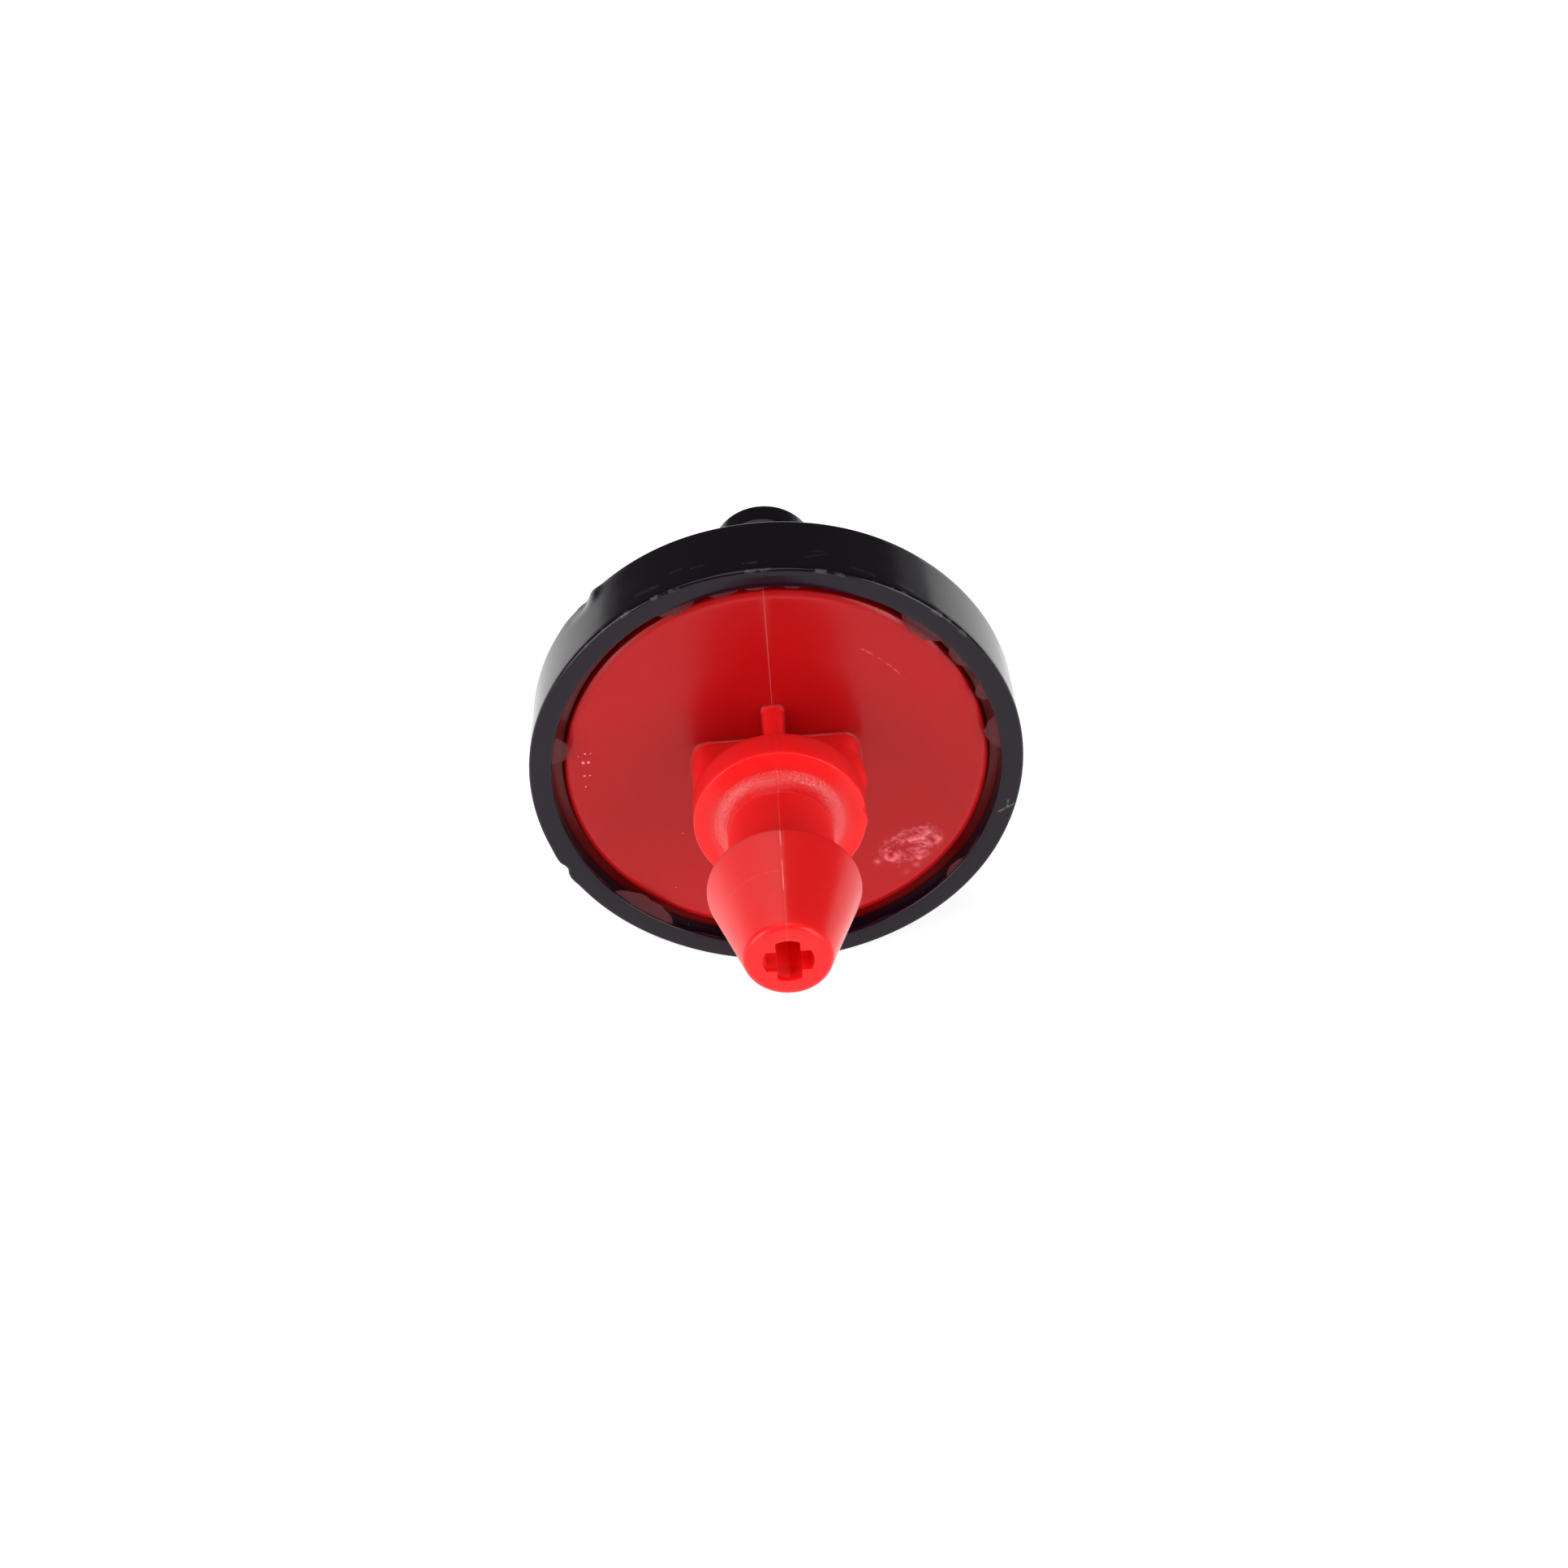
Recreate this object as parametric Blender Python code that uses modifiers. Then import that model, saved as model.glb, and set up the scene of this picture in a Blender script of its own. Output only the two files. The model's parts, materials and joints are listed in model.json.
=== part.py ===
"""Pressure-compensating button drip emitter: a barbed inlet base, a diaphragm and an outlet cap.

Metres, +Z up. Water flows along +Y, in at the barb's tip and out of the nipple. The origin is where
the flow axis crosses the front of the collar, the face that seats on the outside of the pipe.

Each piece is modelled with its local +Z downstream, so a station below is a distance along the flow
axis from the collar's front. The flow_axis empty turns that local +Z onto the world's +Y.
"""

import math

import bmesh
import bpy
from mathutils import Vector

MM = 0.001
TURN_STEPS = 60
ROUND_STEPS = 4
WELD = 1e-7
GAP = 0.05 * MM

# The barb, which pushes through a punched hole in the pipe wall
TIP_STATION = -7.73 * MM
TIP_RADIUS = 1.50 * MM
TIP_ROUND = 0.30 * MM
TIP_FLAT = 1.26 * MM
BARB_RADIUS = 2.73 * MM
BARB_LAND = 0.10 * MM
SHOULDER_STATION = -3.84 * MM
SHOULDER_RAKE = 0.12 * MM
NECK_RADIUS = 1.885 * MM
NECK_FILLET = 0.50 * MM
COLLAR_RADIUS = 3.10 * MM
COLLAR_THICKNESS = 1.16 * MM
COLLAR_CHAMFER = 0.06 * MM

# The inlet: a cross-shaped slot that keeps grit out, then a round bore
CROSS_REACH = 0.90 * MM
CROSS_SLOT = 0.86 * MM
CROSS_DEPTH = 3.2 * MM
INLET_BORE = 0.72 * MM
BORE_STEPS = 24

# The stem between the collar and the disc: a round core, two wings and an upright rib
CORE_RADIUS = 1.20 * MM
WING_REACH = 3.08 * MM
WING_HEIGHT = 2.44 * MM
WING_CORNER = 0.70 * MM
RIB_WIDTH = 0.74 * MM
RIB_REACH = 2.66 * MM
RIB_CORNER = 0.26 * MM

# The disc, with a thinner flange that the cap's lip holds
DISC_FRONT = 3.38 * MM
DISC_BACK = 4.75 * MM
DISC_RADIUS = 7.72 * MM
DISC_ROUND = 0.22 * MM
FLANGE_FRONT = 3.74 * MM
FLANGE_RADIUS = 8.45 * MM
DISH_RADIUS = 3.4 * MM
DISH_DEPTH = 0.35 * MM

# The pads that the diaphragm rests on
PAD_COUNT = 4
PAD_ORBIT = 4.6 * MM
PAD_LENGTH = 1.0 * MM
PAD_WIDTH = 0.6 * MM
PAD_HEIGHT = 0.25 * MM

# The diaphragm
DIAPHRAGM_RADIUS = 5.75 * MM
DIAPHRAGM_THICKNESS = 0.80 * MM
DIAPHRAGM_EDGE = 0.15 * MM

# The cap's ring
RING_FRONT = 2.98 * MM
RING_BACK = 6.06 * MM
RING_RADIUS = 9.00 * MM
RING_BACK_RADIUS = 8.86 * MM
RING_EDGE = 0.08 * MM
LIP_RADIUS = 8.18 * MM
SHOULDER_BACK = 6.25 * MM
SHOULDER_EDGE_RADIUS = 8.68 * MM

# The drum behind the ring, which holds the diaphragm's chamber and the labyrinth
CHAMBER_RADIUS = 6.20 * MM
LABYRINTH_FACE = 6.18 * MM
DRUM_RADIUS = 7.00 * MM
DRUM_TOP_RADIUS = 6.85 * MM
DRUM_BACK = 7.70 * MM
DRUM_ROUND = 0.35 * MM

# The labyrinth: a channel with teeth from each wall in turn
CHANNEL_INNER = 3.30 * MM
CHANNEL_OUTER = 4.90 * MM
CHANNEL_DEPTH = 0.60 * MM
TOOTH_COUNT = 18
TOOTH_REACH = 0.55
TOOTH_SHARE = 0.36
OUTER_TOOTH_PLACE = 0.25
INNER_TOOTH_PLACE = 0.75
CHANNEL_START = math.radians(20)
CHANNEL_SWEEP = math.radians(320)
PORT_WIDTH = 0.70 * MM
PORT_OUTER_END = 6.05 * MM
PORT_INNER_START = 1.40 * MM
EXIT_PORT_INSET = 1.5
REGULATING_RADIUS = 2.10 * MM
REGULATING_DEPTH = 0.45 * MM

# The outlet: a boss that the tube butts on, and a nipple with a holding bead
BOSS_RADIUS = 3.00 * MM
BOSS_BACK = 8.50 * MM
NIPPLE_RADIUS = 1.75 * MM
NIPPLE_FILLET = 0.25 * MM
BEAD_START = 16.08 * MM
BEAD_RAMP = 0.26 * MM
BEAD_RADIUS = 1.96 * MM
BEAD_END = 17.24 * MM
NIPPLE_END = 17.70 * MM
NIPPLE_END_RADIUS = 1.50 * MM
OUTLET_BORE = 1.00 * MM
OUTLET_MOUTH = 1.18 * MM
ORIFICE_RADIUS = 0.50 * MM
ORIFICE_LENGTH = 0.60 * MM

# The gussets that stiffen the nipple's root
GUSSET_COUNT = 4
GUSSET_WIDTH = 0.70 * MM
GUSSET_ROOT = 3.90 * MM
GUSSET_TOP_STATION = 10.2 * MM

RED = (0.66, 0.025, 0.03, 1.0)
BLACK = (0.012, 0.011, 0.012, 1.0)
SILICONE = (0.05, 0.05, 0.052, 1.0)
RED_ROUGHNESS = 0.38
BLACK_ROUGHNESS = 0.22
SILICONE_ROUGHNESS = 0.60
SMOOTH_BELOW = math.radians(35)
BEVEL_ABOVE = math.radians(60)


def clear_scene():
    for obj in list(bpy.data.objects):
        bpy.data.objects.remove(obj, do_unlink=True)


def new_collection(name, hidden):
    collection = bpy.data.collections.new(name)
    collection.hide_render = hidden
    bpy.context.scene.collection.children.link(collection)
    return collection


def new_material(name, colour, roughness):
    made = bpy.data.materials.new(name)
    made.use_nodes = True
    shader = made.node_tree.nodes["Principled BSDF"]
    shader.inputs["Base Color"].default_value = colour
    shader.inputs["Roughness"].default_value = roughness
    shader.inputs["Metallic"].default_value = 0.0
    made.diffuse_color = colour
    return made


def place(name, mesh, collection, axis, station=0.0):
    """Links a mesh whose local +Z is downstream, with its origin on the flow axis."""
    obj = bpy.data.objects.new(name, mesh)
    obj.parent = axis
    obj.location = (0.0, 0.0, station)
    collection.objects.link(obj)
    return obj


def helper(obj):
    obj.hide_render = True
    obj.display_type = "WIRE"
    return obj


def mesh_from(bm, name):
    bmesh.ops.recalc_face_normals(bm, faces=bm.faces)
    mesh = bpy.data.meshes.new(name)
    bm.to_mesh(mesh)
    bm.free()
    return mesh


def arc(radius, station, size, start, end, steps=ROUND_STEPS):
    """Points of a round about (radius, station), from one angle to another in degrees."""
    points = []
    for step in range(steps + 1):
        angle = math.radians(start + (end - start) * step / steps)
        points.append((radius + size * math.cos(angle), station + size * math.sin(angle)))
    return points


def turned(name, profile, collection, axis, closed):
    """A profile of (radius, station) points, turned about the flow axis by a Screw modifier."""
    bm = bmesh.new()
    points = [bm.verts.new((radius, 0.0, station)) for radius, station in profile]
    for first, second in zip(points, points[1:]):
        bm.edges.new((first, second))
    if closed:
        bm.edges.new((points[-1], points[0]))
    mesh = bpy.data.meshes.new(name)
    bm.to_mesh(mesh)
    bm.free()
    obj = place(name, mesh, collection, axis)
    screw = obj.modifiers.new("Turn", "SCREW")
    screw.axis = "Z"
    screw.steps = TURN_STEPS
    screw.render_steps = TURN_STEPS
    screw.use_merge_vertices = True
    screw.merge_threshold = WELD
    screw.use_normal_calculate = not closed
    return obj


def box(name, size, centre, collection, axis, angle=0.0):
    """A box of the given size, turned by an angle about the flow axis."""
    bm = bmesh.new()
    bmesh.ops.create_cube(bm, size=1.0)
    bmesh.ops.scale(bm, vec=size, verts=bm.verts)
    bmesh.ops.translate(bm, vec=centre, verts=bm.verts)
    obj = place(name, mesh_from(bm, name), collection, axis)
    obj.rotation_euler.z = angle
    return obj


def rod(name, radius, start, end, collection, axis, end_radius=None, steps=TURN_STEPS):
    """A round rod or cone on the flow axis, from one station to another."""
    bm = bmesh.new()
    bmesh.ops.create_cone(
        bm,
        cap_ends=True,
        segments=steps,
        radius1=radius,
        radius2=radius if end_radius is None else end_radius,
        depth=end - start,
    )
    bmesh.ops.translate(bm, vec=(0.0, 0.0, (start + end) / 2), verts=bm.verts)
    return place(name, mesh_from(bm, name), collection, axis)


def boolean(obj, operation, other):
    modifier = obj.modifiers.new(f"{operation.title()} {other.name}", "BOOLEAN")
    modifier.operation = operation
    modifier.solver = "EXACT"
    modifier.object = other


def smooth(obj):
    obj.data.shade_smooth()
    obj.data.set_sharp_from_angle(angle=SMOOTH_BELOW)


def base_profile():
    """From the centre of the disc's back, round the outside, to the centre of the barb's tip."""
    dish = DISC_BACK - DISH_DEPTH
    face_round = DISC_FRONT + DISC_ROUND
    collar_back = COLLAR_THICKNESS
    points = [(0.0, dish), (DISH_RADIUS - DISH_DEPTH, dish), (DISH_RADIUS, DISC_BACK)]
    points += [(FLANGE_RADIUS, DISC_BACK), (FLANGE_RADIUS, FLANGE_FRONT), (DISC_RADIUS, FLANGE_FRONT)]
    points += arc(DISC_RADIUS - DISC_ROUND, face_round, DISC_ROUND, 0, -90)
    points += [(CORE_RADIUS, DISC_FRONT), (CORE_RADIUS, collar_back)]
    points += [(COLLAR_RADIUS - COLLAR_CHAMFER, collar_back), (COLLAR_RADIUS, collar_back - COLLAR_CHAMFER)]
    points += [(COLLAR_RADIUS, COLLAR_CHAMFER), (COLLAR_RADIUS - COLLAR_CHAMFER, 0.0)]
    points += arc(NECK_RADIUS + NECK_FILLET, -NECK_FILLET, NECK_FILLET, 90, 180)
    points += [(NECK_RADIUS, SHOULDER_STATION + SHOULDER_RAKE), (BARB_RADIUS, SHOULDER_STATION)]
    points += [(BARB_RADIUS, SHOULDER_STATION - BARB_LAND)]
    cone = math.degrees(math.atan2(BARB_RADIUS - TIP_RADIUS, SHOULDER_STATION - BARB_LAND - TIP_STATION))
    points += arc(TIP_FLAT, TIP_STATION + TIP_ROUND, TIP_ROUND, -cone, -90)
    points += [(0.0, TIP_STATION)]
    return points


def bar_outline(half_width, reach, corner):
    """A bar across the flow axis, along X: its ends lie on a circle, and its corners are rounded."""
    rise = math.asin((half_width - corner) / (reach - corner))
    side, height = (reach - corner) * math.cos(rise), half_width - corner
    quarter = [(reach * math.cos(rise * step / ROUND_STEPS), reach * math.sin(rise * step / ROUND_STEPS))
               for step in range(ROUND_STEPS)]
    quarter += arc(side, height, corner, math.degrees(rise), 90)
    top = quarter + [(-x, y) for x, y in quarter[:0:-1]]
    outline = top + [(-x, -y) for x, y in top]
    return [(x, y, 0.0) for x, y in outline]


def wing_outline():
    return bar_outline(WING_HEIGHT / 2, WING_REACH, WING_CORNER)


def rib_outline():
    return [(-y, x, 0.0) for x, y, _ in bar_outline(RIB_WIDTH / 2, RIB_REACH, RIB_CORNER)]


def make_base(parts, tools, axis):
    base = turned("inlet_base", base_profile(), parts, axis, closed=False)
    stem = (COLLAR_THICKNESS / 2, DISC_FRONT + DISC_ROUND)
    boolean(base, "UNION", helper(outline_solid("wings", wing_outline(), *stem, tools, axis)))
    boolean(base, "UNION", helper(outline_solid("rib", rib_outline(), *stem, tools, axis)))

    for index in range(PAD_COUNT):
        pad = box(
            f"seat_pad_{index + 1}",
            (PAD_LENGTH, PAD_WIDTH, 2 * PAD_HEIGHT),
            (PAD_ORBIT, 0, DISC_BACK),
            tools,
            axis,
            math.tau * (index + 0.5) / PAD_COUNT,
        )
        boolean(base, "UNION", helper(pad))

    slot_size = (CROSS_SLOT, 2 * NECK_RADIUS, 2 * CROSS_DEPTH)
    cross = helper(box("inlet_cross", slot_size, (0, 0, TIP_STATION), tools, axis))
    across = helper(
        box("inlet_cross_arm", slot_size, (0, 0, TIP_STATION), tools, axis, math.pi / 2)
    )
    limit = helper(
        rod("inlet_cross_limit", CROSS_REACH, TIP_STATION - MM, TIP_STATION + CROSS_DEPTH, tools, axis)
    )
    boolean(cross, "UNION", across)
    boolean(cross, "INTERSECT", limit)
    boolean(base, "DIFFERENCE", cross)
    bore_start = TIP_STATION + CROSS_DEPTH - MM / 2
    bore = helper(rod("inlet_bore", INLET_BORE, bore_start, DISC_BACK + MM, tools, axis, steps=BORE_STEPS))
    boolean(base, "DIFFERENCE", bore)
    return base


def make_diaphragm(parts, axis):
    """A plain silicone disc. Its origin is on the flow axis, at its upstream face."""
    bm = bmesh.new()
    bmesh.ops.create_cone(
        bm,
        cap_ends=True,
        segments=TURN_STEPS,
        radius1=DIAPHRAGM_RADIUS,
        radius2=DIAPHRAGM_RADIUS,
        depth=DIAPHRAGM_THICKNESS,
    )
    bmesh.ops.translate(bm, vec=(0.0, 0.0, DIAPHRAGM_THICKNESS / 2), verts=bm.verts)
    seat = DISC_BACK + PAD_HEIGHT + GAP
    disc = place("diaphragm", mesh_from(bm, "diaphragm"), parts, axis, seat)
    bevel = disc.modifiers.new("Edge", "BEVEL")
    bevel.width = DIAPHRAGM_EDGE
    bevel.segments = 2
    bevel.limit_method = "ANGLE"
    bevel.angle_limit = BEVEL_ABOVE
    return disc


def cap_profile():
    """Down the outside from the nipple's mouth to the lip, then up through the inside."""
    points = [(OUTLET_MOUTH, NIPPLE_END), (NIPPLE_END_RADIUS, NIPPLE_END)]
    points += [(BEAD_RADIUS, BEAD_END), (BEAD_RADIUS, BEAD_START + BEAD_RAMP)]
    points += [(NIPPLE_RADIUS, BEAD_START)]
    points += arc(NIPPLE_RADIUS + NIPPLE_FILLET, BOSS_BACK + NIPPLE_FILLET, NIPPLE_FILLET, 180, 270)
    points += [(BOSS_RADIUS, BOSS_BACK), (BOSS_RADIUS, DRUM_BACK)]
    points += arc(DRUM_TOP_RADIUS - DRUM_ROUND, DRUM_BACK - DRUM_ROUND, DRUM_ROUND, 90, 0)
    points += [(DRUM_RADIUS, SHOULDER_BACK), (SHOULDER_EDGE_RADIUS, SHOULDER_BACK)]
    points += [(RING_BACK_RADIUS, RING_BACK), (RING_RADIUS, RING_FRONT + RING_EDGE)]
    points += [(RING_RADIUS - RING_EDGE, RING_FRONT), (LIP_RADIUS, RING_FRONT)]
    points += [(LIP_RADIUS, FLANGE_FRONT - GAP), (FLANGE_RADIUS + GAP, FLANGE_FRONT - GAP)]
    points += [(FLANGE_RADIUS + GAP, DISC_BACK + GAP), (CHAMBER_RADIUS, DISC_BACK + GAP)]
    points += [(CHAMBER_RADIUS, LABYRINTH_FACE), (REGULATING_RADIUS, LABYRINTH_FACE)]
    floor = LABYRINTH_FACE + REGULATING_DEPTH
    points += [(REGULATING_RADIUS, floor), (ORIFICE_RADIUS, floor)]
    points += [(ORIFICE_RADIUS, floor + ORIFICE_LENGTH)]
    points += [(OUTLET_BORE, floor + ORIFICE_LENGTH + OUTLET_BORE - ORIFICE_RADIUS)]
    points += [(OUTLET_BORE, NIPPLE_END - OUTLET_BORE)]
    return points


def polar(radius, angle):
    return (radius * math.cos(angle), radius * math.sin(angle), 0.0)


def labyrinth_outline():
    """The channel seen along the flow axis: a ring sector with teeth from its two walls in turn."""
    pitch = CHANNEL_SWEEP / TOOTH_COUNT
    width = CHANNEL_OUTER - CHANNEL_INNER
    walls = ((CHANNEL_OUTER, -1, OUTER_TOOTH_PLACE), (CHANNEL_INNER, 1, INNER_TOOTH_PLACE))
    sides = []
    for wall, direction, place_in_pitch in walls:
        side = [polar(wall, CHANNEL_START)]
        for index in range(TOOTH_COUNT):
            middle = CHANNEL_START + (index + place_in_pitch) * pitch
            half = TOOTH_SHARE * pitch / 2
            tip = wall + direction * TOOTH_REACH * width
            side += [polar(wall, middle - half), polar(tip, middle - half / 2)]
            side += [polar(tip, middle + half / 2), polar(wall, middle + half)]
        side.append(polar(wall, CHANNEL_START + CHANNEL_SWEEP))
        sides.append(side)
    return sides[0] + sides[1][::-1]


def outline_solid(name, outline, start, end, collection, axis):
    """A flat outline, filled and extruded from one station to another, as a welded mesh."""
    curve = bpy.data.curves.new(name, "CURVE")
    curve.dimensions = "2D"
    curve.fill_mode = "BOTH"
    curve.extrude = (end - start) / 2
    spline = curve.splines.new("POLY")
    spline.points.add(len(outline) - 1)
    for point, corner in zip(spline.points, outline):
        point.co = Vector(corner).to_4d()
    spline.use_cyclic_u = True
    drawn = bpy.data.objects.new(name + "_outline", curve)
    collection.objects.link(drawn)
    bpy.context.view_layer.update()
    graph = bpy.context.evaluated_depsgraph_get()
    mesh = bpy.data.meshes.new_from_object(drawn.evaluated_get(graph))
    bpy.data.objects.remove(drawn, do_unlink=True)
    bm = bmesh.new()
    bm.from_mesh(mesh)
    bmesh.ops.remove_doubles(bm, verts=bm.verts, dist=WELD)
    bmesh.ops.translate(bm, vec=(0.0, 0.0, (start + end) / 2), verts=bm.verts)
    return place(name, mesh_from(bm, name), collection, axis)


def cut_port(cap, name, inner, outer, angle, tools, axis):
    """A straight radial groove in the labyrinth's face."""
    port = box(
        name,
        (outer - inner, PORT_WIDTH, 2 * CHANNEL_DEPTH),
        ((inner + outer) / 2, 0, LABYRINTH_FACE),
        tools,
        axis,
        angle,
    )
    boolean(cap, "DIFFERENCE", helper(port))


def make_cap(parts, tools, axis):
    cap = turned("outlet_cap", cap_profile(), parts, axis, closed=True)

    gusset_depth = GUSSET_TOP_STATION - DRUM_BACK + DRUM_ROUND
    gusset_middle = GUSSET_TOP_STATION - gusset_depth / 2
    limit_start = DRUM_BACK - DRUM_ROUND
    for index in range(GUSSET_COUNT // 2):
        name = f"gusset_pair_{index + 1}"
        pair = box(
            name,
            (4 * GUSSET_ROOT, GUSSET_WIDTH, gusset_depth),
            (0, 0, gusset_middle),
            tools,
            axis,
            math.pi / 4 + index * math.pi / 2,
        )
        slope = helper(
            rod(name + "_slope", GUSSET_ROOT, limit_start, GUSSET_TOP_STATION, tools, axis, NIPPLE_RADIUS)
        )
        boolean(helper(pair), "INTERSECT", slope)
        core = helper(
            rod(name + "_core", NIPPLE_RADIUS - GAP, DRUM_BACK - MM, GUSSET_TOP_STATION + MM, tools, axis)
        )
        boolean(pair, "DIFFERENCE", core)
        boolean(cap, "UNION", pair)

    channel_end = LABYRINTH_FACE + CHANNEL_DEPTH
    channel = outline_solid(
        "labyrinth_channel", labyrinth_outline(), LABYRINTH_FACE - MM, channel_end, tools, axis
    )
    boolean(cap, "DIFFERENCE", helper(channel))
    port_angle = math.atan2(PORT_WIDTH / 2, CHANNEL_OUTER)
    middle = (CHANNEL_INNER + CHANNEL_OUTER) / 2
    cut_port(cap, "entry_port", middle, PORT_OUTER_END, CHANNEL_START + port_angle, tools, axis)
    exit_angle = CHANNEL_START + CHANNEL_SWEEP - EXIT_PORT_INSET * port_angle
    cut_port(cap, "exit_port", PORT_INNER_START, middle, exit_angle, tools, axis)
    return cap


def main():
    clear_scene()
    parts = new_collection("drip_emitter", False)
    tools = new_collection("cutters", True)
    axis = bpy.data.objects.new("flow_axis", None)
    axis.rotation_euler.x = -math.pi / 2
    parts.objects.link(axis)

    red = new_material("red_moulding", RED, RED_ROUGHNESS)
    black = new_material("black_moulding", BLACK, BLACK_ROUGHNESS)
    silicone = new_material("silicone", SILICONE, SILICONE_ROUGHNESS)
    finishes = (
        (make_base(parts, tools, axis), red),
        (make_diaphragm(parts, axis), silicone),
        (make_cap(parts, tools, axis), black),
    )
    for obj, finish in finishes:
        obj.data.materials.append(finish)
        smooth(obj)


main()
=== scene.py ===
import json
import math

import bmesh
import bpy
import numpy as np
from mathutils import Matrix, Vector, noise


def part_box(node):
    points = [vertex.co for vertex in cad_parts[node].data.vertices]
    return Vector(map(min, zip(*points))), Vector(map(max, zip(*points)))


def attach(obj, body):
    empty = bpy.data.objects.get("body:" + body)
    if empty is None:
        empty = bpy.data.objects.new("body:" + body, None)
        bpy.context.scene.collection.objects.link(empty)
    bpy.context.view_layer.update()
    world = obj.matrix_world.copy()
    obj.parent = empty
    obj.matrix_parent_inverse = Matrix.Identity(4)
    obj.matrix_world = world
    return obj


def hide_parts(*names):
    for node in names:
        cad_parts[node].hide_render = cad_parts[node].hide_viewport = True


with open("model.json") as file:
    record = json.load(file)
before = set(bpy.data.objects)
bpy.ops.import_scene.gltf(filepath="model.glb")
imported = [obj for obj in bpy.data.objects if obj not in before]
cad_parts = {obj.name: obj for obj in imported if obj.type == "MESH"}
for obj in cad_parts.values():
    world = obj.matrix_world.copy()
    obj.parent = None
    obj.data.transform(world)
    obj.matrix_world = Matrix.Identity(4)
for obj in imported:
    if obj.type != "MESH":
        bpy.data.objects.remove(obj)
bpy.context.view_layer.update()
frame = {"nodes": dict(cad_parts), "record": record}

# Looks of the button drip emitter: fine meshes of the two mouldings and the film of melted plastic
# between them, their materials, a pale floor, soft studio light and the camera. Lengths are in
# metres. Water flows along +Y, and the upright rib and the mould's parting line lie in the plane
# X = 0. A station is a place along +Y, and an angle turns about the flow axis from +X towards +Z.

MM = 0.001

MOUNTS = {mount["name"]: mount["pos_m"] for mount in frame["record"]["mounts"]}
BASE_LOW, BASE_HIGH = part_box("inlet_base")
CAP_LOW, CAP_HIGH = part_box("outlet_cap")
DIAPHRAGM_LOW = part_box("diaphragm")[0]

# The red moulding. Its ends come from the frame, and the rest are the CAD model's own sizes.
TIP_STATION = BASE_LOW[1]
FLANGE_RADIUS = BASE_HIGH[0]
TIP_RADIUS = 1.50 * MM
TIP_ROUND = 0.30 * MM
BARB_RADIUS = 2.73 * MM
BARB_LAND = 0.09 * MM
SHOULDER_STATION = -3.84 * MM
SHOULDER_RAKE = 0.12 * MM
NECK_RADIUS = 1.885 * MM
NECK_FILLET = 0.52 * MM
COLLAR_FRONT = MOUNTS["pipe_seat"][1]
COLLAR_RADIUS = 3.10 * MM
COLLAR_THICKNESS = 1.16 * MM
CROSS_REACH = 0.90 * MM
CROSS_SLOT = 0.86 * MM
CROSS_DEPTH = 3.2 * MM
INLET_BORE = 0.72 * MM
CORE_RADIUS = 1.20 * MM
WING_REACH = 3.08 * MM
WING_HEIGHT = 2.44 * MM
WING_CORNER = 0.70 * MM
RIB_WIDTH = 0.74 * MM
RIB_REACH = 2.66 * MM
RIB_CORNER = 0.26 * MM
ROOT_FILLET = 0.13 * MM
DISC_FRONT = 3.38 * MM
DISC_BACK = 4.75 * MM
DISC_RADIUS = 7.72 * MM
DISC_ROUND = 0.14 * MM
DISC_EDGE = 3.50 * MM
DISC_SLOPE_START = 7.47 * MM
DISC_SLOPE_ROUND = 0.50 * MM
FLANGE_FRONT = 3.74 * MM
DISH_RADIUS = 3.4 * MM
DISH_DEPTH = 0.35 * MM
PAD_COUNT = 4
PAD_ORBIT = 4.6 * MM
PAD_SIZE = (1.0 * MM, 0.6 * MM)
PAD_HEIGHT = DIAPHRAGM_LOW[1] - DISC_BACK - 0.05 * MM

# The black moulding
RING_RADIUS = CAP_HIGH[0]
RING_FRONT = CAP_LOW[1]
NIPPLE_END = CAP_HIGH[1]
RING_BACK_RADIUS = 8.86 * MM
LIP_RADIUS = 8.18 * MM
SHOULDER_BACK = 6.25 * MM
GAP = 0.05 * MM
CHAMBER_RADIUS = 6.20 * MM
LABYRINTH_FACE = 6.18 * MM
DRUM_RADIUS = 7.00 * MM
DRUM_TOP_RADIUS = 6.85 * MM
DRUM_BACK = MOUNTS["press_face"][1]
BOSS_RADIUS = 3.00 * MM
BOSS_BACK = MOUNTS["tube_stop"][1]
NIPPLE_RADIUS = 1.75 * MM
BEAD_START = 16.08 * MM
BEAD_RAMP = 0.26 * MM
BEAD_RADIUS = 1.96 * MM
BEAD_END = 17.24 * MM
NIPPLE_END_RADIUS = 1.50 * MM
OUTLET_BORE = 1.00 * MM
OUTLET_MOUTH = 1.18 * MM
ORIFICE_RADIUS = 0.50 * MM
ORIFICE_LENGTH = 0.60 * MM
REGULATING_RADIUS = 2.10 * MM
REGULATING_DEPTH = 0.45 * MM
CHANNEL_INNER = 3.30 * MM
CHANNEL_OUTER = 4.90 * MM
CHANNEL_DEPTH = 0.60 * MM
TOOTH_COUNT = 18
TOOTH_REACH = 0.55
TOOTH_SHARE = 0.36
CHANNEL_START = math.radians(20)
CHANNEL_SWEEP = math.radians(320)
PORT_WIDTH = 0.70 * MM
PORT_OUTER_END = 6.05 * MM
GUSSET_COUNT = 4
GUSSET_WIDTH = 0.70 * MM
GUSSET_ROOT = 3.90 * MM
GUSSET_TOP = 10.2 * MM
GUSSET_EDGE = 0.06 * MM

# A tag of flash on the right wing
FLASH_STATION = 1.75 * MM
FLASH_LENGTH = 0.55 * MM
FLASH_HEIGHT = 0.17 * MM
FLASH_ANGLE = math.radians(12)
FLASH_SWING = math.radians(11)

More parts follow.
